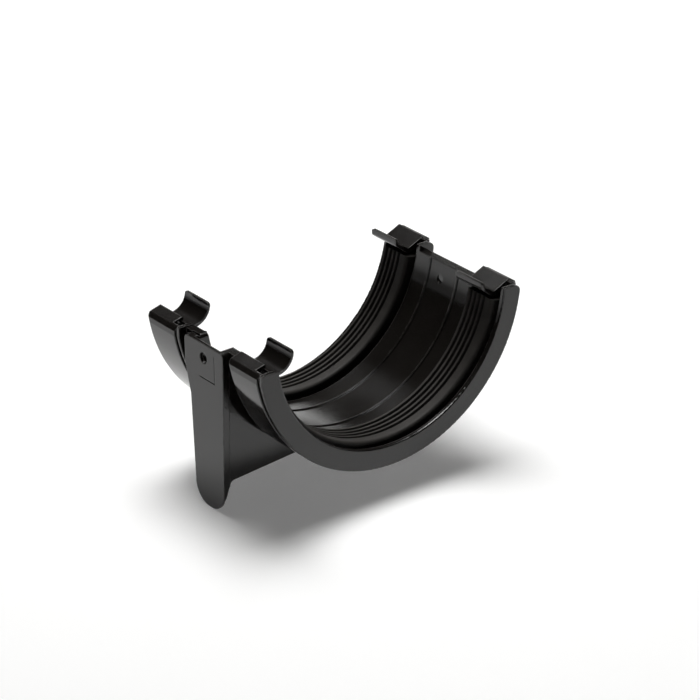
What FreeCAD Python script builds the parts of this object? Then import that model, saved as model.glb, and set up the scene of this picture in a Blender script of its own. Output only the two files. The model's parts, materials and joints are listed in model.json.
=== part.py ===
import FreeCAD, Part

import os
import re

import Sketcher

# Driving sizes in millimetres and degrees. Heights called "drop" are measured
# down from the gutter axis; "out" is measured from the fascia towards the gutter.
SIZES = {
    # the gutter and the way the two collars hold it
    "gutter_radius": 56.0,
    "socket_clearance": 1.6,
    "half_length": 39.0,
    "collar_length": 22.4,
    "collar_depth": 9.1,
    "collar_wall": 3.0,
    "end_wall": 2.0,
    "edge_round": 2.0,
    "lip_round": 0.6,
    "flange_thickness": 1.4,
    "flange_gap": 1.9,
    "flange_gap_depth": 1.2,
    "flange_round": 0.5,
    "wall_trim": 0.7,
    "wall_round": 3.0,
    "wall_inset": 1.0,
    "wall_inner_round": 2.5,
    # the trough between the collars
    "bore_step": 1.0,
    "trough_wall": 4.0,
    "back_rim_drop": 7.9,
    "front_rim_drop": 7.3,
    "marker_offset": 9.0,
    "marker_width": 0.9,
    "marker_height": 0.45,
    "dimple_radius": 1.8,
    "dimple_depth": 0.4,
    "dimple_side": 1.3,
    "dimple_drop": 14.3,
    # the seals bedded in the collars
    "seal_width": 16.45,
    "seal_squeeze": 0.4,
    "seal_end_angle": 10.8,
    "rib_pitch": 2.65,
    "rib_width": 1.7,
    "rib_flank": 0.35,
    "rib_height": 1.1,
    "seal_round": 1.5,
    # the fascia plate, its leg and the two webs
    "fascia_bite": 1.1,
    "axis_up": 14.1,
    "plate_left": 12.8,
    "plate_right": 13.1,
    "plate_drop": 7.9,
    "plate_thickness": 3.2,
    "plate_corner": 2.0,
    "shoulder_top_drop": 20.0,
    "shoulder_drop": 33.0,
    "shoulder_round": 6.0,
    "leg_left": 9.2,
    "leg_end_left": 6.6,
    "leg_right": 12.1,
    "leg_drop": 79.85,
    "leg_round": 8.8,
    "tip_drop": 66.3,
    "tip_end_drop": 74.0,
    "tip_thickness": 0.8,
    "web_thickness": 2.5,
    "web_leg_drop": 65.4,
    "web_toe_back": 11.5,
    "web_toe_rise": 1.3,
    "web_round": 2.5,
    "tie_half": 11.8,
    "tie_drop": 24.8,
    "tie_gap_width": 1.0,
    "tie_gap_drop": 12.0,
    "tie_gap_end": 7.6,
    "mark_width": 0.4,
    "mark_depth": 0.25,
    "mark_left": 3.0,
    "mark_right": 7.5,
    "mark_top_drop": 11.0,
    "mark_drop": 23.1,
    "notch_left": 6.9,
    "notch_right": 8.4,
    "notch_drop": 22.3,
    "notch_round": 2.0,
    "notch_lip_round": 1.6,
    "notch_flare": 3.0,
    "notch_skin": 1.5,
    "screw_radius": 2.4,
    # the tops of the collars and the clips that hold the gutter's edges
    "back_drop": 7.4,
    "front_drop": 4.7,
    "cover_length": 15.2,
    "cover_thickness": 1.5,
    "back_cover_outer_drop": 8.85,
    "back_cover_inner_drop": 6.6,
    "back_cover_edge": 1.3,
    "back_cover_edge_slope": 1.3,
    "back_cover_edge_round": 1.8,
    "back_clip_length": 16.3,
    "back_clip_foot_drop": 9.2,
    "back_clip_tip_drop": 0.4,
    "back_clip_reach": 5.95,
    "back_clip_radius": 8.3,
    "back_clip_thickness": 1.0,
    "clip_thickness": 1.35,
    "bend_round": 1.0,
    "bend_outer_round": 2.0,
    "clip_corner": 1.4,
    "front_cover_outer_drop": 3.5,
    "front_cover_inner_drop": 7.8,
    "front_cover_overhang": 0.5,
    "front_clip_length": 16.3,
    "front_clip_reach": 5.8,
    "front_clip_tip_drop": 2.4,
    "front_clip_bend_drop": 5.1,
    "front_clip_foot_drop": 10.6,
    "front_clip_corner": 1.0,
}

ALIAS = re.compile(r"\b(" + "|".join(sorted(SIZES, key=len, reverse=True)) + r")\b")

# Sizes that follow from the driving ones, written as expressions.
SOCKET = "(gutter_radius + socket_clearance)"
COLLAR = f"({SOCKET} + collar_depth)"
GROOVE = f"({COLLAR} - collar_wall)"
BORE = f"({SOCKET} + bore_step)"
MID_WALL = f"({BORE} + trough_wall / 2)"
TROUGH = f"({BORE} + trough_wall)"
SHOULDER = "(half_length - collar_length)"
GROOVE_END = "(half_length - end_wall)"
GROOVE_START = f"({SHOULDER} + end_wall)"
SEAL_CREST = "(gutter_radius - seal_squeeze)"
AXIS_OUT = f"({COLLAR} - fascia_bite)"
PLATE_BACK = f"(0 - {AXIS_OUT})"
PLATE_FRONT = f"(plate_thickness - {AXIS_OUT})"
REACH = f"({COLLAR} + 5)"
BACK_CLIP = "(gutter_radius - back_clip_reach)"
FRONT_CLIP = "(gutter_radius - front_clip_reach)"
FRONT_COVER = f"({SOCKET} - front_cover_overhang)"
IN_WALL = f"({GROOVE} + collar_wall / 2)"
IN_BACK_WALL = f"({GROOVE} + collar_wall / 10)"
WALL_CORNER = f"({COLLAR} - wall_trim)"
WALL_INNER = f"({SOCKET} - wall_inset)"

# The near ends of the two collars along the gutter.
COLLAR_STARTS = {"left": "(0 - half_length)", "right": SHOULDER}

doc = FreeCAD.newDocument("gutter_union")
sheet = doc.addObject("Spreadsheet::Sheet", "Sizes")
for row, (size_name, size_value) in enumerate(SIZES.items(), start=1):
    sheet.set(f"A{row}", size_name)
    sheet.set(f"B{row}", str(size_value))
    sheet.setAlias(f"B{row}", size_name)
doc.recompute()


def bind(text):
    """Point every size named in an expression at the sheet."""
    return ALIAS.sub(r"Sizes.\1", text)


def number(text):
    """Value of an expression with the sheet's present sizes."""
    return float(sheet.evalExpression(bind(text)))


def sketch_on(body, name, role, offsets):
    """Empty sketch on one of the body's origin planes, moved by three expressions."""
    sketch = body.newObject("Sketcher::SketchObject", name)
    plane = [item for item in body.Origin.OriginFeatures if item.Role == role][0]
    sketch.AttachmentSupport = (plane, [""])
    sketch.MapMode = "FlatFace"
    for letter, text in zip("xyz", offsets):
        sketch.setExpression(f"AttachmentOffset.Base.{letter}", bind(text))
    return sketch


def place(sketch, geometry, position, corner):
    """Hold one point of a sketch at a pair of expressions."""
    for kind, text in zip(("DistanceX", "DistanceY"), corner):
        rule = Sketcher.Constraint(kind, -1, 1, geometry, position, number(text))
        sketch.setExpression(f"Constraints[{sketch.addConstraint(rule)}]", bind(text))


def outline(body, name, role, offsets, corners):
    """Closed outline of straight sides; a third entry in a corner rounds it."""
    sketch = sketch_on(body, name, role, offsets)
    spots = [FreeCAD.Vector(number(corner[0]), number(corner[1]), 0) for corner in corners]
    count = len(corners)
    for index in range(count):
        sketch.addGeometry(Part.LineSegment(spots[index], spots[(index + 1) % count]))
    for index in range(count):
        sketch.addConstraint(Sketcher.Constraint("Coincident", index, 2, (index + 1) % count, 1))
    for index, corner in enumerate(corners):
        place(sketch, index, 1, corner[:2])
    for index, corner in enumerate(corners):
        if len(corner) == 3:
            before = (index - 1) % count
            spot = spots[index]
            towards_start = spot + (spots[before] - spot) * 0.3
            towards_end = spot + (spots[(index + 1) % count] - spot) * 0.3
            arc = sketch.GeometryCount
            sketch.fillet(before, index, towards_start, towards_end, number(corner[2]), True, True)
            rule = sketch.addConstraint(Sketcher.Constraint("Radius", arc, number(corner[2])))
            sketch.setExpression(f"Constraints[{rule}]", bind(corner[2]))
    doc.recompute()
    return sketch


def disc(body, name, role, offsets, radius):
    """Round outline about the sketch's own origin."""
    sketch = sketch_on(body, name, role, offsets)
    circle = Part.Circle(FreeCAD.Vector(0, 0, 0), FreeCAD.Vector(0, 0, 1), number(radius))
    sketch.addGeometry(circle)
    sketch.addConstraint(Sketcher.Constraint("Coincident", 0, 3, -1, 1))
    rule = sketch.addConstraint(Sketcher.Constraint("Radius", 0, number(radius)))
    sketch.setExpression(f"Constraints[{rule}]", bind(radius))
    doc.recompute()
    return sketch


def feature(body, kind, name, sketch, **settings):
    """Add a sketch-based feature; text settings are expressions of the sizes."""
    item = body.newObject(f"PartDesign::{kind}", name)
    item.Profile = sketch
    for key, setting in settings.items():
        if isinstance(setting, str) and key in ("Length", "Angle"):
            item.setExpression(key, bind(setting))
        else:
            setattr(item, key, setting)
    doc.recompute()
    return item


def across(start):
    """Sketch offsets for a section square to the gutter, centred on its axis."""
    return (AXIS_OUT, "axis_up", start)


ALONG = ("0", "axis_up", f"0 - {AXIS_OUT}")
ON_FASCIA = ("0", "axis_up", "0")


def slab(body, name, start, length, corners):
    """Solid of one section square to the gutter, from a start for a length."""
    sketch = outline(body, name + "_section", "YZ_Plane", across(start), corners)
    return feature(body, "Pad", name, sketch, Length=length)


def slot(body, name, start, length, corners):
    """Cut of one section square to the gutter, from a start for a length."""
    sketch = outline(body, name + "_section", "YZ_Plane", across(start), corners)
    return feature(body, "Pocket", name, sketch, Length=length, Reversed=True)


def turned(body, kind, name, corners, angle):
    """Section beside the gutter axis turned about it, even about straight down."""
    sketch = outline(body, name + "_section", "XZ_Plane", ALONG, corners)
    return feature(body, kind, name, sketch, ReferenceAxis=(sketch, ["H_Axis"]),
                   Midplane=True, Angle=angle)


def block(low, high):
    """Four corners of an upright rectangle between two opposite corners."""
    return [low, (high[0], low[1]), high, (low[0], high[1])]


def fascia_plate(body):
    """Back plate with the leg that bears on the fascia below the screw."""
    corners = [
        ("0 - plate_left", "0 - plate_drop", "plate_corner"),
        ("plate_right", "0 - plate_drop", "plate_corner"),
        ("leg_right", "0 - leg_drop", "leg_round"),
        ("0 - leg_end_left", "0 - leg_drop", "leg_round"),
        ("0 - leg_left", "0 - shoulder_drop", "shoulder_round"),
        ("0 - plate_left", "0 - shoulder_top_drop", "shoulder_round"),
    ]
    sketch = outline(body, "plate_outline", "XZ_Plane", ON_FASCIA, corners)
    feature(body, "Pad", "plate", sketch, Length="plate_thickness", Reversed=True)
    slot(body, "leg_tip", "0 - plate_left", "plate_left + plate_right",
         [(PLATE_FRONT, "0 - tip_drop"),
          (f"{PLATE_BACK} + tip_thickness", "0 - tip_end_drop"),
          (f"{PLATE_BACK} + tip_thickness", "0 - leg_drop - 1"),
          (f"{PLATE_FRONT} + 1", "0 - leg_drop - 1"),
          (f"{PLATE_FRONT} + 1", "0 - tip_drop")])


def webs(body):
    """Two webs that tie the leg to the underside of the trough, and the tie at the screw."""
    inside_plate = f"{PLATE_BACK} + plate_thickness / 2"
    corners = [
        (inside_plate, "0 - tie_drop"),
        (inside_plate, "0 - web_leg_drop - web_round"),
        (PLATE_FRONT, "0 - web_leg_drop - web_round"),
        (PLATE_FRONT, "0 - web_leg_drop", "web_round * 0.9"),
        ("0 - web_toe_back", f"web_toe_rise - {TROUGH}"),
        ("0 - web_toe_back", "0 - tie_drop"),
    ]
    starts = {"right": "leg_right - web_thickness", "left": "0 - leg_end_left"}
    for side, start in starts.items():
        slab(body, f"web_{side}", start, "web_thickness", corners)
    slab(body, "tie", "0 - tie_half", "2 * tie_half",
         block((inside_plate, "0 - tie_drop - 0.5"), (f"0 - {TROUGH} * 0.85", "0 - back_rim_drop")))
    clear = [
        (f"0 - {REACH}", "0"),
        (f"0 - {REACH}", f"0 - {MID_WALL}"),
        (REACH, f"0 - {MID_WALL}"),
        (REACH, "0"),
    ]
    turned(body, "Groove", "web_clearance", clear, "180")


def sleeve(start):
    """Outside of one collar, with the gap that sets off the flange at its right end."""
    end = f"{start} + collar_length"
    flange = f"{end} - flange_thickness"
    step = f"{flange} - flange_gap"
    outside = f"0 - {COLLAR}"
    return [
        (start, outside, "edge_round"),
        (step, outside, "flange_round"),
        (step, f"flange_gap_depth - {COLLAR}"),
        (flange, f"flange_gap_depth - {COLLAR}"),
        (flange, outside, "flange_round"),
        (end, outside, "flange_round"),
    ]


def trough(body):
    """Half-round trough with a deeper grooved collar at each end."""
    inside = [
        ("half_length", f"0 - {SOCKET}", "lip_round"),
        (GROOVE_END, f"0 - {SOCKET}"),
        (GROOVE_END, f"0 - {GROOVE}"),
        (GROOVE_START, f"0 - {GROOVE}"),
        (GROOVE_START, f"0 - {BORE}"),
        ("marker_offset + marker_width / 2", f"0 - {BORE}"),
        ("marker_offset + marker_width / 2", f"marker_height - {BORE}"),
        ("marker_offset - marker_width / 2", f"marker_height - {BORE}"),
        ("marker_offset - marker_width / 2", f"0 - {BORE}"),
    ]
    mirrored = [(f"0 - ({corner[0]})",) + corner[1:] for corner in reversed(inside)]
    corners = [(SHOULDER, f"0 - {TROUGH}")] + sleeve(COLLAR_STARTS["right"]) + inside
    corners += mirrored + sleeve(COLLAR_STARTS["left"]) + [(f"0 - {SHOULDER}", f"0 - {TROUGH}")]
    turned(body, "Revolution", "trough", corners, "180")


def tops(body):
    """Level the rims of the trough and of the collars, and trim them at the fascia."""
    slot(body, "back_rim_cut", f"0 - {SHOULDER}", f"2 * {SHOULDER}",
         block((PLATE_FRONT, "0 - back_rim_drop"), ("0", "5")))
    slot(body, "front_rim_cut", f"0 - {SHOULDER}", f"2 * {SHOULDER}",
         block(("0", "0 - front_rim_drop"), (REACH, "5")))
    slot(body, "back_cut", "0 - half_length - 1", "2 * half_length + 2",
         block((f"0 - {REACH}", "0 - back_drop"), ("0", "5")))
    slot(body, "front_cut", "0 - half_length - 1", "2 * half_length + 2",
         block(("0", "0 - front_drop"), (REACH, "5")))
    slot(body, "fascia_cut", "0 - half_length - 1", "2 * half_length + 2",
         block((f"0 - {REACH}", f"0 - {COLLAR}"), (PLATE_BACK, "5")))


def wall_corners(body, side, start):
    """Round the flange's upper corners, outside at the front and inside at the back."""
    first = f"{start} + collar_length - end_wall"
    low = f"0 - sqrt(pow({COLLAR}; 2) - pow({WALL_CORNER}; 2))"
    slot(body, f"front_corner_{side}", first, "end_wall",
         [(SOCKET, "0 - front_drop"), (WALL_CORNER, "0 - front_drop", "wall_round"),
          (WALL_CORNER, low), (REACH, low), (REACH, "5"), (SOCKET, "5")])
    inner_low = f"0 - sqrt(pow({SOCKET}; 2) - pow({WALL_INNER}; 2))"
    slot(body, f"back_corner_{side}", start, "collar_length",
         [(f"0 - {SOCKET} - wall_round", "0 - back_drop"),
          (f"0 - {WALL_INNER}", "0 - back_drop", "wall_inner_round"),
          (f"0 - {WALL_INNER}", inner_low), (f"wall_round - {WALL_INNER}", inner_low),
          (f"wall_round - {WALL_INNER}", "5"), (f"0 - {SOCKET} - wall_round", "5")])


def screw_notch(body):
    """Opening in the back wall that bares the plate, and the screw hole in it."""
    corners = [
        ("0 - notch_left", "0 - notch_drop", "notch_round"),
        ("notch_right", "0 - notch_drop", "notch_round"),
        ("notch_right", "0 - back_rim_drop", "notch_lip_round"),
        ("notch_right + notch_flare", "0 - back_rim_drop"),
        ("notch_right + notch_flare", "0"),
        ("0 - notch_left - notch_flare", "0"),
        ("0 - notch_left - notch_flare", "0 - back_rim_drop"),
        ("0 - notch_left", "0 - back_rim_drop", "notch_lip_round"),
    ]
    sketch = outline(body, "notch_outline", "XZ_Plane", ("0", "axis_up", "0 - notch_skin"), corners)
    feature(body, "Pocket", "notch", sketch, Length=f"{AXIS_OUT} / 2")
    hole = disc(body, "screw_outline", "XZ_Plane", ("0", "0", "0"), "screw_radius")
    feature(body, "Pocket", "screw_hole", hole, Length="plate_thickness")
    slot(body, "tie_gap", "0 - plate_left", "plate_left - tie_gap_end",
         block((PLATE_FRONT, "0 - tie_gap_drop"), (f"{PLATE_FRONT} + tie_gap_width", "0")))


def insert_mark(body):
    """Fine bent line on the plate's rear face, the mark of the mould's insert."""
    corners = [
        ("0 - mark_left", "0 - mark_drop"),
        ("mark_right", "0 - mark_drop"),
        ("mark_right", "0 - mark_top_drop"),
        ("mark_right - mark_width", "0 - mark_top_drop"),
        ("mark_right - mark_width", "mark_width - mark_drop"),
        ("0 - mark_left", "mark_width - mark_drop"),
    ]
    sketch = outline(body, "mark_outline", "XZ_Plane", ON_FASCIA, corners)
    feature(body, "Pocket", "mark", sketch, Length="mark_depth")


def dimple(body):
    """Shallow round mark on the inside of the front wall."""
    depth = f"{AXIS_OUT} + sqrt(pow({BORE}; 2) - pow(dimple_drop; 2)) + dimple_depth"
    sketch = disc(body, "dimple_outline", "XZ_Plane",
                  ("0 - dimple_side", "axis_up - dimple_drop", f"10 - ({depth})"), "dimple_radius")
    feature(body, "Pocket", "dimple", sketch, Length="10")


def back_clip(body, side, start):
    """Cover over the groove at the back and the curled clip for the gutter's back edge."""
    slope = "((back_cover_outer_drop - back_cover_inner_drop)"
    slope += f" / ({COLLAR} - {BORE}))"
    inner = f"0 - {BORE}"
    edge = f"({AXIS_OUT} - back_cover_edge)"
    top_edge = f"(0 - back_cover_inner_drop - ({edge} - {BORE}) * {slope})"
    top_outer = f"{top_edge} - ({REACH} - {edge}) * back_cover_edge_slope"
    top_wall = f"0 - back_cover_inner_drop - ({IN_BACK_WALL} - {BORE}) * {slope}"
    slot(body, f"back_slope_{side}", start, "collar_length - end_wall",
         [(f"0 - {REACH}", top_outer), (f"0 - {edge}", top_edge, "back_cover_edge_round"),
          (inner, "0 - back_cover_inner_drop"), (inner, "5"), (f"0 - {REACH}", "5")])
    slab(body, f"back_cover_{side}", start, "cover_length",
         [(f"0 - {IN_BACK_WALL}", top_wall),
          (inner, "0 - back_cover_inner_drop", "lip_round"),
          (f"{inner} + back_clip_thickness / 2", "0 - back_clip_foot_drop"),
          (f"0 - {IN_BACK_WALL}", f"{top_wall} - cover_thickness")])
    face = f"0 - {BACK_CLIP}"
    back = f"{face} - back_clip_thickness"
    root = f"{inner} - back_clip_thickness"
    slab(body, f"back_clip_{side}", f"{start} + collar_length - back_clip_length", "back_clip_length",
         [(root, "0 - back_clip_foot_drop"),
          (face, "0 - back_clip_foot_drop", "back_clip_radius"),
          (face, "0 - back_clip_tip_drop"),
          (back, "0 - back_clip_tip_drop"),
          (back, "back_clip_thickness - back_clip_foot_drop",
           "back_clip_radius - back_clip_thickness"),
          (root, "back_clip_thickness - back_clip_foot_drop")])


def front_clip(body, side, start):
    """Cover over the groove at the front, turned up into the clip for the front edge."""
    slope = "((front_cover_inner_drop - front_cover_outer_drop)"
    slope += f" / ({COLLAR} - {FRONT_COVER}))"
    inner = FRONT_COVER
    top_outer = f"({REACH} - {FRONT_COVER}) * {slope} - front_cover_inner_drop"
    top_wall = f"({IN_WALL} - {FRONT_COVER}) * {slope} - front_cover_inner_drop"
    slot(body, f"front_slope_{side}", start, "front_clip_length",
         [(REACH, top_outer), (inner, "0 - front_cover_inner_drop"), (inner, "5"), (REACH, "5")])
    slab(body, f"front_clip_{side}", start, "front_clip_length",
         [(IN_WALL, top_wall),
          (inner, "0 - front_cover_inner_drop", "bend_round"),
          (f"{FRONT_CLIP} + clip_thickness", "clip_thickness / 2 - front_clip_bend_drop",
           "bend_round"),
          (f"{FRONT_CLIP} + clip_thickness", "0 - front_clip_tip_drop"),
          (FRONT_CLIP, "0 - front_clip_tip_drop"),
          (FRONT_CLIP, "0 - front_clip_bend_drop", "bend_outer_round"),
          (inner, "0 - front_clip_foot_drop", "bend_round"),
          (IN_WALL, f"{top_wall} - cover_thickness * 1.2")])


def round_tips(body, name, length, from_end, drop, radius):
    """Round the upper corners of the clips that stand the same drop below the axis."""
    height = number(f"axis_up - {drop}")
    ends = []
    for start in COLLAR_STARTS.values():
        first = f"{start} + collar_length - {length}" if from_end else start
        ends += [number(first), number(f"{first} + {length}")]
    names = []
    for index, edge in enumerate(body.Shape.Edges, start=1):
        points = [vertex.Point for vertex in edge.Vertexes]
        level = all(abs(point.z - height) < 1e-4 for point in points)
        if level and any(all(abs(point.x - end) < 1e-4 for point in points) for end in ends):
            names.append(f"Edge{index}")
    base = body.Tip
    item = body.newObject("PartDesign::Fillet", name)
    item.Base = (base, names)
    item.setExpression("Radius", bind(radius))
    doc.recompute()


def union_body():
    """The moulding: trough, collars, clips, fascia plate, leg and webs in one piece."""
    body = doc.addObject("PartDesign::Body", "union_body")
    fascia_plate(body)
    webs(body)
    trough(body)
    tops(body)
    screw_notch(body)
    insert_mark(body)
    dimple(body)
    for side, start in COLLAR_STARTS.items():
        wall_corners(body, side, start)
        back_clip(body, side, start)
        front_clip(body, side, start)
    round_tips(body, "back_tips", "back_clip_length", True, "back_clip_tip_drop", "clip_corner")
    round_tips(body, "front_tips", "front_clip_length", False, "front_clip_tip_drop",
               "front_clip_corner")
    return body


def seal(side, start):
    """Ribbed strip bedded in a collar's groove, its plain flank to the right."""
    body = doc.addObject("PartDesign::Body", f"seal_{side}")
    valley = f"0 - {SEAL_CREST} - rib_height"
    crest = f"0 - {SEAL_CREST}"
    corners = [(start, f"0 - {GROOVE}"), (start, valley)]
    for index in range(4):
        edge = f"{start} + {index} * rib_pitch + rib_pitch - rib_width"
        corners += [
            (edge, valley),
            (f"{edge} + rib_flank", crest),
            (f"{edge} + rib_width - rib_flank", crest),
            (f"{edge} + rib_width", valley),
        ]
    band = f"{start} + 5 * rib_pitch - rib_width"
    corners += [
        (band, valley),
        (f"{band} + rib_flank", crest),
        (f"{start} + seal_width", crest, "seal_round"),
        (f"{start} + seal_width", f"0 - {GROOVE}"),
    ]
    turned(body, "Revolution", f"seal_{side}_strip", corners, "180 - 2 * seal_end_angle")
    return body


parts = [union_body()]
for side, start in COLLAR_STARTS.items():
    parts.append(seal(side, f"({start} + end_wall)"))
doc.recompute()

for item in doc.Objects:
    if "Invalid" in item.State or "Error" in item.State:
        raise RuntimeError(f"{item.Name} did not build")
os.makedirs("parts", exist_ok=True)
for body in parts:
    shape = body.Shape
    if shape.isNull() or not shape.isValid() or len(shape.Solids) != 1:
        raise RuntimeError(f"{body.Label} is not one sound solid")
    shape.exportStep(f"parts/{body.Label}.step")
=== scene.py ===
"""Looks of a half-round gutter union: black moulding, rubber seals and the studio around it."""

from __future__ import annotations

import json
import logging
import math
from dataclasses import dataclass, field
from enum import Enum

import bmesh
import bpy
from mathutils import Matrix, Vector


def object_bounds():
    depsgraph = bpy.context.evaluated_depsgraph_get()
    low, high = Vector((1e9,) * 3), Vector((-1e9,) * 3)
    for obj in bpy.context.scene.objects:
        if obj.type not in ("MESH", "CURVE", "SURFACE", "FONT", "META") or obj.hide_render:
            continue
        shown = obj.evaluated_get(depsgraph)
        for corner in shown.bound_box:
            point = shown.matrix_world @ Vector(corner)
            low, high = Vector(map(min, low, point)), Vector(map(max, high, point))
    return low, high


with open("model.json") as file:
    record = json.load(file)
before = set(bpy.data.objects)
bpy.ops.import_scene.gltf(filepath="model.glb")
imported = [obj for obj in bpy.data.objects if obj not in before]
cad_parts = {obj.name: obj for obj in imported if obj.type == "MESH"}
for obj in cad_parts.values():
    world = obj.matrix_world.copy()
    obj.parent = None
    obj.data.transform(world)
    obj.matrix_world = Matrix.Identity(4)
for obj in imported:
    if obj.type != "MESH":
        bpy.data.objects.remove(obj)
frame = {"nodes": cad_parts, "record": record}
CAD_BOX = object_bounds()
LOG = logging.getLogger("gutter_union")

Colour = tuple[float, float, float]
Point = tuple[float, float, float]
Span = tuple[float, float]
Socket = bpy.types.NodeSocket

# A noise texture's middle, and the span in which most of the mean of two noises lies.
NOISE_MIDDLE = 0.5
NOISE_SPAN: Span = (0.35, 0.65)
# How many rays look for an edge or a crease.
EDGE_SAMPLES = 6
FULL_TURN = 360.0


class Node(Enum):
    """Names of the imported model's nodes."""

    BODY = "union_body"
    SEAL_LEFT = "seal_left"
    SEAL_RIGHT = "seal_right"


class Kind(Enum):
    """Shader node types that the finishes and the room are made of."""

    ADD_SHADER = "ShaderNodeAddShader"
    BACKGROUND = "ShaderNodeBackground"
    BEVEL = "ShaderNodeBevel"
    BUMP = "ShaderNodeBump"
    COORDINATES = "ShaderNodeTexCoord"
    DIFFUSE = "ShaderNodeBsdfDiffuse"
    EMISSION = "ShaderNodeEmission"
    GEOMETRY = "ShaderNodeNewGeometry"
    JOIN = "ShaderNodeCombineXYZ"
    LIGHT_PATH = "ShaderNodeLightPath"
    MATH = "ShaderNodeMath"
    NOISE = "ShaderNodeTexNoise"
    OCCLUSION = "ShaderNodeAmbientOcclusion"
    OUTPUT = "ShaderNodeOutputMaterial"
    PRINCIPLED = "ShaderNodeBsdfPrincipled"
    RAMP = "ShaderNodeValToRGB"
    RANGE = "ShaderNodeMapRange"
    SPLIT = "ShaderNodeSeparateXYZ"
    VECTOR = "ShaderNodeVectorMath"
    WORLD_OUTPUT = "ShaderNodeOutputWorld"


class Operation(Enum):
    """Sums that a graph works out."""

    ARCTAN2 = "ARCTAN2"
    DOT_PRODUCT = "DOT_PRODUCT"
    MAXIMUM = "MAXIMUM"
    MULTIPLY = "MULTIPLY"
    MULTIPLY_ADD = "MULTIPLY_ADD"
    SQRT = "SQRT"
    SUBTRACT = "SUBTRACT"


@dataclass(frozen=True)
class Noise:
    """A noise texture: its cells per metre, its finer layers and how strong those are."""

    scale: float
    detail: float
    rough: float = 0.5


class Graph:
    """A node tree that is filled one node at a time."""

    def __init__(self, tree: bpy.types.NodeTree) -> None:
        """Takes over the node tree of a material or a world, and empties it."""
        self.tree = tree
        self.tree.nodes.clear()

    def add(self, kind: Kind, **sockets: object) -> bpy.types.Node:
        """Adds a node and sets its inputs.

        Args:
            kind: The node's type.
            **sockets: Inputs by name, with _ for a space. A socket is linked, a value is set.

        Returns:
            The new node.
        """
        node = self.tree.nodes.new(kind.value)
        for name, value in sockets.items():
            self.put(node, name.replace("_", " "), value)
        return node

    def put(self, node: bpy.types.Node, socket: str | int, value: object) -> None:
        """Sets or links one input.

        Args:
            node: The node that has the input.
            socket: The input's name or number.
            value: A value, or the output socket that feeds the input.
        """
        if isinstance(value, bpy.types.NodeSocket):
            self.tree.links.new(value, node.inputs[socket])
        else:
            node.inputs[socket].default_value = value

    def place(self) -> Socket:
        """Gives the surface's place in the model frame."""
        return self.add(Kind.COORDINATES).outputs["Object"]

    def math(self, operation: Operation, *values: object, clamp: bool = False) -> Socket:
        """Works out a number.

        Args:
            operation: The sum.
            *values: Its operands, numbers or output sockets.
            clamp: Whether the result is kept between 0 and 1.

        Returns:
            The socket that carries the result.
        """
        node = self.add(Kind.MATH)
        node.operation = operation.value
        node.use_clamp = clamp
        for index, value in enumerate(values):
            self.put(node, index, value)
        return node.outputs[0]

    def mean(self, first: Socket, second: Socket) -> Socket:
        """Works out the mean of two numbers."""
        half = self.math(Operation.MULTIPLY, second, 0.5)
        return self.math(Operation.MULTIPLY_ADD, first, 0.5, half)

    def agreement(self, first: Socket, second: Socket) -> Socket:
        """Works out how far two directions agree.

        Args:
            first: A direction of length 1.
            second: Another.

        Returns:
            The socket that carries the cosine of the angle between them.
        """
        node = self.add(Kind.VECTOR)
        node.operation = Operation.DOT_PRODUCT.value
        self.put(node, 0, first)
        self.put(node, 1, second)
        return node.outputs["Value"]

    def noise(self, vector: Socket, noise: Noise) -> Socket:
        """Adds a noise texture and gives the socket that carries it, from 0 to 1."""
        settings = {"Scale": noise.scale, "Detail": noise.detail, "Roughness": noise.rough}
        return self.add(Kind.NOISE, Vector=vector, **settings).outputs[0]

    def span(self, value: Socket, source: Span, target: Span = (0.0, 1.0)) -> Socket:
        """Maps a span of numbers onto another, and stops at its ends.

        Args:
            value: The number to map.
            source: The values that become the target's two ends.
            target: The results at those values.

        Returns:
            The socket that carries the result.
        """
        node = self.add(Kind.RANGE)
        for index, number in enumerate((value, *source, *target)):
            self.put(node, index, number)
        return node.outputs[0]

    def ramp(self, value: Socket, stops: list[tuple[float, Colour]]) -> Socket:
        """Turns a number into a colour.

        Args:
            value: The number, from 0 to 1.
            stops: Each stop's place and colour, in order.

        Returns:
            The socket that carries the colour.
        """
        node = self.add(Kind.RAMP, Fac=value)
        elements = node.color_ramp.elements
        while len(elements) < len(stops):
            elements.new(1.0)
        for element, (place, colour) in zip(elements, stops):
            element.position = place
            element.color = (*colour, 1.0)
        return node.outputs[0]

    def bump(self, height: Socket, depth: float, normal: Socket | None = None) -> Socket:
        """Tilts the shading normal by a height.

        Args:
            height: The height, from 0 to 1.
            depth: What a height of 1 is, in metres.
            normal: The normal to start from, or None for the surface's own.

        Returns:
            The socket that carries the new normal.
        """
        node = self.add(Kind.BUMP, Height=height, Distance=depth, Strength=1.0)
        if normal is not None:
            self.put(node, "Normal", normal)
        return node.outputs[0]


def blank_material(name: str) -> tuple[bpy.types.Material, Graph]:
    """Makes a material with no nodes in it.

    Args:
        name: The material's name.

    Returns:
        The material and the graph that fills it.
    """
    made = bpy.data.materials.new(name)
    made.use_nodes = True
    return made, Graph(made.node_tree)


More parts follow.
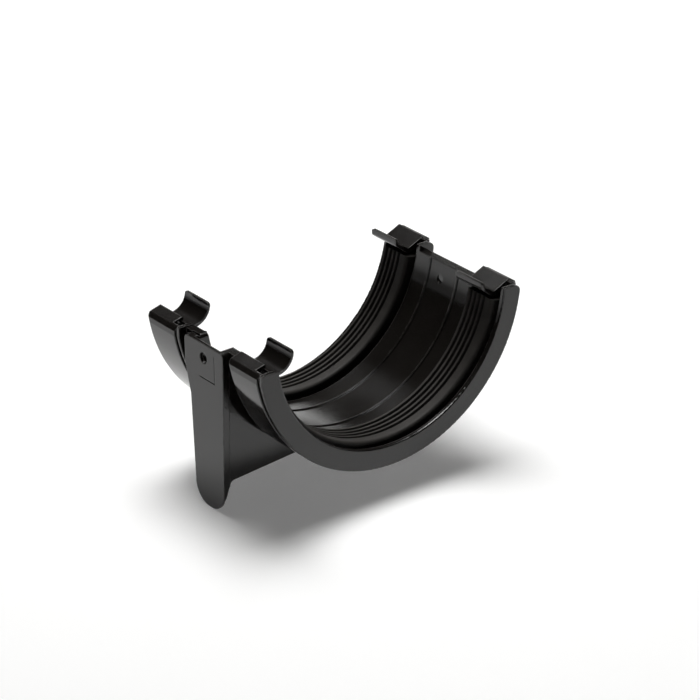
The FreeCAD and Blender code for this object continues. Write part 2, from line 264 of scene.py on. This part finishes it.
@dataclass(frozen=True)
class MouldedPlastic:
    """Black PVC-U as it leaves a polished mould, matt where the tool was left eroded."""

    name: str = "moulded_pvc"
    ior: float = 1.5
    deep: Colour = (0.0062, 0.0054, 0.0048)
    pale: Colour = (0.0098, 0.0088, 0.0080)
    # Pale grey of rubbed edges, also a painted highlight for light caught on rounded edges.
    worn_highlight: Colour = (0.0640, 0.0600, 0.0560)
    flow: Noise = Noise(70.0, 4.0, 0.55)
    peel: Noise = Noise(520.0, 2.0)
    grain: Noise = Noise(3600.0, 3.0, 0.6)
    flow_tint: float = 0.325
    grain_tint: float = 0.175
    wear_highlight_tint: float = 0.5
    tint_stops: tuple[float, float, float] = (0.175, 0.325, 0.75)
    polish: Span = (0.07, 0.13)
    matt: Span = (0.17, 0.24)
    matt_tilt: Span = (0.80, 0.88)
    edge_radius: float = 0.0005
    wear_highlight_radius: float = 0.0009
    wear_highlight_turn: Span = (0.98, 0.82)
    wear_highlight_patches: Span = (0.36, 0.60)
    least_wear_highlight: float = 0.35
    wear_roughness: float = 0.28
    crease_reach: float = 0.0020
    crease_light: Span = (0.70, 0.97)
    peel_depth: float = 0.000012
    grain_depth: float = 0.000022
    polished_grain: float = 0.15

    def material(self) -> bpy.types.Material:
        """Makes the material.

        Returns:
            A new material with its nodes.
        """
        made, graph = blank_material(self.name)
        place = graph.place()
        flow = graph.noise(place, self.flow)
        peel = graph.noise(place, self.peel)
        grain = graph.noise(place, self.grain)
        matt = self.matt_mask(graph)
        wear_and_highlight = self.wear_and_highlight_mask(graph, flow)
        fresh = self.roughness(graph, graph.mean(grain, flow), matt)
        shader = graph.add(
            Kind.PRINCIPLED,
            IOR=self.ior,
            Base_Color=self.colour(graph, flow, grain, wear_and_highlight),
            Roughness=graph.math(Operation.MULTIPLY_ADD, wear_and_highlight, self.wear_roughness, fresh),
            Normal=self.relief(graph, peel, grain, matt),
        )
        graph.add(Kind.OUTPUT, Surface=shader.outputs[0])
        return made

    def colour(self, graph: Graph, flow: Socket, grain: Socket, wear_and_highlight: Socket) -> Socket:
        """Black that drifts with the melt's flow, is speckled by pigment and greyed at its edges
        by rubbing and by a painted highlight.

        Args:
            graph: The material's graph.
            flow: Broad noise.
            grain: Fine noise.
            wear_and_highlight: The mask of rubbed edges, which also carries a painted highlight.

        Returns:
            The colour's socket.
        """
        drift = graph.math(Operation.MULTIPLY, flow, self.flow_tint)
        speckle = graph.math(Operation.MULTIPLY_ADD, grain, self.grain_tint, drift)
        # Edges are greyed both by rubbing and by a painted highlight for light on rounded edges.
        greyed = graph.math(Operation.MULTIPLY_ADD, wear_and_highlight, self.wear_highlight_tint, speckle)
        return graph.ramp(greyed, list(zip(self.tint_stops, (self.deep, self.pale, self.worn_highlight))))

    def wear_and_highlight_mask(self, graph: Graph, patches: Socket) -> Socket:
        """Finds the outer edges, which are rubbed here and there and painted paler as a
        highlight, and leaves the creases out.

        Args:
            graph: The material's graph.
            patches: Noise that breaks up the rubbing and the painted highlight.

        Returns:
            The mask's socket, 1 where an edge is rubbed and painted paler as a highlight.
        """
        rounded = graph.add(Kind.BEVEL, Radius=self.wear_highlight_radius)
        rounded.samples = EDGE_SAMPLES
        flat = graph.add(Kind.GEOMETRY).outputs["Normal"]
        edge = graph.span(graph.agreement(rounded.outputs[0], flat), self.wear_highlight_turn)
        open_air = graph.add(Kind.OCCLUSION, Distance=self.crease_reach)
        open_air.samples = EDGE_SAMPLES
        proud = graph.span(open_air.outputs["AO"], self.crease_light)
        patchy = graph.span(patches, self.wear_highlight_patches, (self.least_wear_highlight, 1.0))
        proud_patches = graph.math(Operation.MULTIPLY, proud, patchy)
        return graph.math(Operation.MULTIPLY, edge, proud_patches)

    def matt_mask(self, graph: Graph) -> Socket:
        """Picks out the upward faces, which an eroded half of the mould shapes.

        Args:
            graph: The material's graph.

        Returns:
            The mask's socket, 1 on matt faces.
        """
        normal = graph.add(Kind.GEOMETRY).outputs["True Normal"]
        upward = graph.add(Kind.SPLIT, Vector=normal).outputs["Z"]
        return graph.span(upward, self.matt_tilt)

    def roughness(self, graph: Graph, marks: Socket, matt: Socket) -> Socket:
        """Polished or matt, with the marks of the flow and the grain in both.

        Args:
            graph: The material's graph.
            marks: The mean of broad and fine noise.
            matt: The mask of matt faces.

        Returns:
            The roughness socket.
        """
        smooth = graph.span(marks, NOISE_SPAN, self.polish)
        coarse = graph.span(marks, NOISE_SPAN, self.matt)
        step = graph.math(Operation.SUBTRACT, coarse, smooth)
        return graph.math(Operation.MULTIPLY_ADD, step, matt, smooth)

    def relief(self, graph: Graph, peel: Socket, grain: Socket, matt: Socket) -> Socket:
        """Softened mould edges, a faint ripple of the skin, and the grain of the eroded faces.

        Args:
            graph: The material's graph.
            peel: Middling noise.
            grain: Fine noise.
            matt: The mask of matt faces.

        Returns:
            The normal's socket.
        """
        edges = graph.add(Kind.BEVEL, Radius=self.edge_radius)
        edges.samples = EDGE_SAMPLES
        rippled = graph.bump(peel, self.peel_depth, edges.outputs[0])
        least = self.polished_grain
        share = graph.math(Operation.MULTIPLY_ADD, matt, 1.0 - least, least)
        return graph.bump(graph.math(Operation.MULTIPLY, grain, share), self.grain_depth, rippled)


@dataclass(frozen=True)
class SealRubber:
    """Black EPDM, drawn out along its length, with a painted highlight on the crests of its ribs.
    """

    axis: tuple[float, float]
    name: str = "seal_rubber"
    ior: float = 1.5
    gloss: float = 0.16
    root: Colour = (0.0110, 0.0101, 0.0092)
    # The rib crests' colour: a painted highlight for light caught by the rib tops.
    crest_highlight: Colour = (0.0380, 0.0352, 0.0324)
    root_radius: float = 0.0568
    crest_radius: float = 0.0556
    drawn: Noise = Noise(1.0, 3.0, 0.6)
    grain: Noise = Noise(4200.0, 3.0, 0.65)
    smear: Noise = Noise(160.0, 4.0, 0.6)
    across_scale: float = 2600.0
    along_scale: float = 14.0
    rib_highlight: float = 0.8
    smear_highlight: float = 0.9
    roughness: Span = (0.50, 0.66)
    grain_depth: float = 0.000014
    draw_depth: float = 0.000010

    def material(self) -> bpy.types.Material:
        """Makes the material.

        Returns:
            A new material with its nodes.
        """
        made, graph = blank_material(self.name)
        place = graph.place()
        strip, radius = self.along_strip(graph, place)
        grain = graph.noise(place, self.grain)
        smear = graph.noise(place, self.smear)
        striped = graph.bump(graph.noise(strip, self.drawn), self.draw_depth)
        shader = graph.add(
            Kind.PRINCIPLED,
            IOR=self.ior,
            Specular_IOR_Level=self.gloss,
            Base_Color=self.colour(graph, smear, radius),
            Roughness=graph.span(graph.mean(grain, smear), NOISE_SPAN, self.roughness),
            Normal=graph.bump(grain, self.grain_depth, striped),
        )
        graph.add(Kind.OUTPUT, Surface=shader.outputs[0])
        return made

    def colour(self, graph: Graph, smear: Socket, radius: Socket) -> Socket:
        """Black that pales, in smears, towards the crests of the ribs: a painted highlight where
        the ribs catch light.

        Args:
            graph: The material's graph.
            smear: Middling noise.
            radius: The distance from the gutter's axis.

        Returns:
            The colour's socket.
        """
        # Painted highlight: paler towards the rib crests, broken up in smears.
        rise = graph.span(radius, (self.root_radius, self.crest_radius), (0.0, self.rib_highlight))
        drift = graph.math(Operation.SUBTRACT, smear, NOISE_MIDDLE)
        highlight_share = graph.math(Operation.MULTIPLY_ADD, drift, self.smear_highlight, rise, clamp=True)
        return graph.ramp(highlight_share, [(0.0, self.root), (1.0, self.crest_highlight)])

    def along_strip(self, graph: Graph, place: Socket) -> tuple[Socket, Socket]:
        """Unrolls the strip, so that marks can run along it.

        Args:
            graph: The material's graph.
            place: The surface's place in the model frame.

        Returns:
            The unrolled coordinates, fine across the strip and long along it, and the distance
            from the gutter's axis.
        """
        parts = graph.add(Kind.SPLIT, Vector=place).outputs
        out = graph.math(Operation.SUBTRACT, parts["Y"], self.axis[0])
        up = graph.math(Operation.SUBTRACT, parts["Z"], self.axis[1])
        square = graph.math(Operation.MULTIPLY, up, up)
        square = graph.math(Operation.MULTIPLY_ADD, out, out, square)
        radius = graph.math(Operation.SQRT, square)
        turn = graph.math(Operation.ARCTAN2, up, out)
        strip = graph.add(
            Kind.JOIN,
            X=graph.math(Operation.MULTIPLY, parts["X"], self.across_scale),
            Y=graph.math(Operation.MULTIPLY, radius, self.across_scale),
            Z=graph.math(Operation.MULTIPLY, turn, self.along_scale),
        )
        return strip.outputs[0], radius


@dataclass(frozen=True)
class StudioPaper:
    """White paper that reads white to the eye and in reflections, and still takes a shadow."""

    name: str = "studio_paper"
    white: Colour = (0.86, 0.86, 0.855)
    lift: float = 0.16
    fibre: Noise = Noise(900.0, 3.0)
    fibre_dip: float = 0.985
    fibre_stops: Span = (0.3, 0.7)
    fibre_depth: float = 0.00002

    def material(self) -> bpy.types.Material:
        """Makes the material.

        Returns:
            A new material with its nodes.
        """
        made, graph = blank_material(self.name)
        fibre = graph.noise(graph.place(), self.fibre)
        dipped = tuple(self.fibre_dip * part for part in self.white)
        tone = graph.ramp(fibre, list(zip(self.fibre_stops, (dipped, self.white))))
        paper = graph.add(Kind.DIFFUSE, Color=tone, Normal=graph.bump(fibre, self.fibre_depth))
        path = graph.add(Kind.LIGHT_PATH).outputs
        seen = graph.math(Operation.MAXIMUM, path["Is Camera Ray"], path["Is Glossy Ray"])
        seen = graph.math(Operation.MAXIMUM, seen, path["Is Transmission Ray"])
        glow = graph.add(Kind.EMISSION, Strength=graph.math(Operation.MULTIPLY, seen, self.lift))
        both = graph.add(Kind.ADD_SHADER)
        graph.put(both, 0, paper.outputs[0])
        graph.put(both, 1, glow.outputs[0])
        graph.add(Kind.OUTPUT, Surface=both.outputs[0])
        return made


def dress(nodes: tuple[Node, ...], material: bpy.types.Material) -> None:
    """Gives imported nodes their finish.

    Args:
        nodes: The nodes.
        material: The finish, which takes every slot of the nodes' objects.
    """
    for node in nodes:
        for slot in frame["nodes"][node.value].material_slots:
            slot.material = material


@dataclass
class Moulding:
    """The union's one-piece moulding: trough, collars, clips, plate and leg."""

    finish: MouldedPlastic = field(default_factory=MouldedPlastic)
    nodes: tuple[Node, ...] = (Node.BODY,)

    def dress(self) -> None:
        """Gives the moulding its plastic."""
        dress(self.nodes, self.finish.material())


@dataclass
class Seals:
    """The two ribbed strips in the collars' grooves."""

    finish: SealRubber
    nodes: tuple[Node, ...] = (Node.SEAL_LEFT, Node.SEAL_RIGHT)

    def dress(self) -> None:
        """Gives both strips the same rubber."""
        dress(self.nodes, self.finish.material())


@dataclass(frozen=True)
class Lamp:
    """A square soft lamp: place, aim and side in metres, power in watts, spread in degrees."""

    name: str
    place: Point
    aim: Point
    size: float
    power: float
    spread: float

    def build(self) -> None:
        """Makes the lamp and turns it to its aim."""
        data = bpy.data.lights.new(self.name, "AREA")
        data.shape = "SQUARE"
        data.size = self.size
        data.energy = self.power
        data.spread = math.radians(self.spread)
        lamp = bpy.data.objects.new(self.name, data)
        lamp.location = self.place
        towards = Vector(self.aim) - lamp.location
        lamp.rotation_euler = towards.to_track_quat("-Z", "Y").to_euler()
        bpy.context.scene.collection.objects.link(lamp)


@dataclass
class Studio:
    """A pale floor, swept up into a low wall on the far side, with soft lamps and a dark room."""

    floor_level: float
    floor_rings: tuple[float, ...] = (0.3, 1.0)
    floor_radius: float = 1.7
    sweep_radius: float = 0.4
    wall_height: float = 0.75
    wall_from: float = 70.0
    wall_to: float = 180.0
    segments: int = 144
    sweep_steps: int = 12
    lip_steps: int = 7
    room: Colour = (0.020, 0.018, 0.016)
    finish: StudioPaper = field(default_factory=StudioPaper)
    lamps: tuple[Lamp, ...] = (
        Lamp("top_lamp", (-0.36, 0.27, 1.30), (0.04, 0.10, 0.0), 0.80, 6.9, 92.0),
        Lamp("far_lamp", (-0.70, 0.55, 1.30), (-1.05, 0.92, 0.10), 0.60, 19.0, 94.0),
    )

    def build(self) -> None:
        """Makes the floor, the lamps and the room."""
        self.paper()
        for lamp in self.lamps:
            lamp.build()
        self.darken()

    def section(self) -> list[tuple[float, float]]:
        """Gives the paper's section, from its inmost ring to the top of the wall.

        Returns:
            Each ring's radius and its height above the floor.
        """
        rings = [(radius, 0.0) for radius in (*self.floor_rings, self.floor_radius)]
        for step in range(1, self.sweep_steps + 1):
            angle = 0.5 * math.pi * (step / self.sweep_steps)
            radius = self.floor_radius + self.sweep_radius * math.sin(angle)
            rings.append((radius, self.sweep_radius * (1.0 - math.cos(angle))))
        rings.append((rings[-1][0], self.wall_height))
        return rings

    def ring(
        self, shape: bmesh.types.BMesh, radius: float, height: float
    ) -> list[bmesh.types.BMVert]:
        """Adds one ring of the paper's corners.

        Args:
            shape: The mesh that gets the corners.
            radius: The ring's radius.
            height: Its height above the floor.

        Returns:
            The corners in order.
        """
        corners = []
        for index in range(self.segments):
            turn = math.tau * index / self.segments
            across, along = radius * math.cos(turn), radius * math.sin(turn)
            corners.append(shape.verts.new((across, along, self.floor_level + height)))
        return corners

    def paper(self) -> bpy.types.Object:
        """Makes the floor, its raised lip and its swept wall.

        Returns:
            The paper's object.
        """
        shape = bmesh.new()
        middle = shape.verts.new((0.0, 0.0, self.floor_level))
        whole = [self.ring(shape, radius, height) for radius, height in self.section()]
        low = whole[: len(self.floor_rings) + self.lip_steps + 1]
        for index in range(self.segments):
            after = (index + 1) % self.segments
            shape.faces.new((middle, whole[0][index], whole[0][after]))
            walled = self.wall_from <= FULL_TURN * index / self.segments < self.wall_to
            rings = whole if walled else low
            for inner, outer in zip(rings, rings[1:]):
                shape.faces.new((inner[index], outer[index], outer[after], inner[after]))
        loose = [corner for corner in shape.verts if not corner.link_faces]
        bmesh.ops.delete(shape, geom=loose, context="VERTS")
        for face in shape.faces:
            face.smooth = True
        mesh = bpy.data.meshes.new("studio_paper")
        shape.to_mesh(mesh)
        shape.free()
        mesh.materials.append(self.finish.material())
        paper = bpy.data.objects.new("studio_paper", mesh)
        bpy.context.scene.collection.objects.link(paper)
        return paper

    def darken(self) -> None:
        """Fills the room beyond the paper with a dim even light."""
        world = bpy.data.worlds.new("studio_room")
        world.use_nodes = True
        graph = Graph(world.node_tree)
        shader = graph.add(Kind.BACKGROUND, Color=(*self.room, 1.0))
        graph.add(Kind.WORLD_OUTPUT, Surface=shader.outputs[0])
        bpy.context.scene.world = world


@dataclass(frozen=True)
class PhotoCamera:
    """The camera that took the photograph, worked out from the collars' round edges."""

    place: Point = (0.8649, -0.6022, 0.5108)
    forward: Point = (-0.7098, 0.5546, -0.4342)
    lens: float = 152.1
    sensor: float = 36.0
    near: float = 0.01
    far: float = 50.0

    def build(self) -> None:
        """Makes the camera and gives it to the scene."""
        data = bpy.data.cameras.new("photo_camera")
        data.lens = self.lens
        data.sensor_width = self.sensor
        data.clip_start = self.near
        data.clip_end = self.far
        camera = bpy.data.objects.new("photo_camera", data)
        camera.location = self.place
        camera.rotation_euler = Vector(self.forward).to_track_quat("-Z", "Y").to_euler()
        bpy.context.scene.collection.objects.link(camera)
        bpy.context.scene.camera = camera


def gutter_axis() -> tuple[float, float]:
    """Finds the gutter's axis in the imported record.

    Returns:
        The axis's distance out from the fascia and its height.
    """
    mounts = {mount["name"]: mount for mount in frame["record"]["mounts"]}
    place = mounts["gutter_socket_right"]["pos_m"]
    return place[1], place[2]


def main() -> None:
    """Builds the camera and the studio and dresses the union."""
    logging.basicConfig(level=logging.INFO, format="%(name)s: %(message)s")
    bpy.context.scene.view_settings.view_transform = "Standard"
    PhotoCamera().build()
    LOG.info("the camera is in place")
    Studio(floor_level=CAD_BOX[0].z).build()
    LOG.info("the studio is in place")
    for assembly in (Moulding(), Seals(SealRubber(gutter_axis()))):
        assembly.dress()
        for node in assembly.nodes:
            LOG.info("%s is dressed in %s", node.value, assembly.finish.name)


if __name__ == "__main__":
    main()
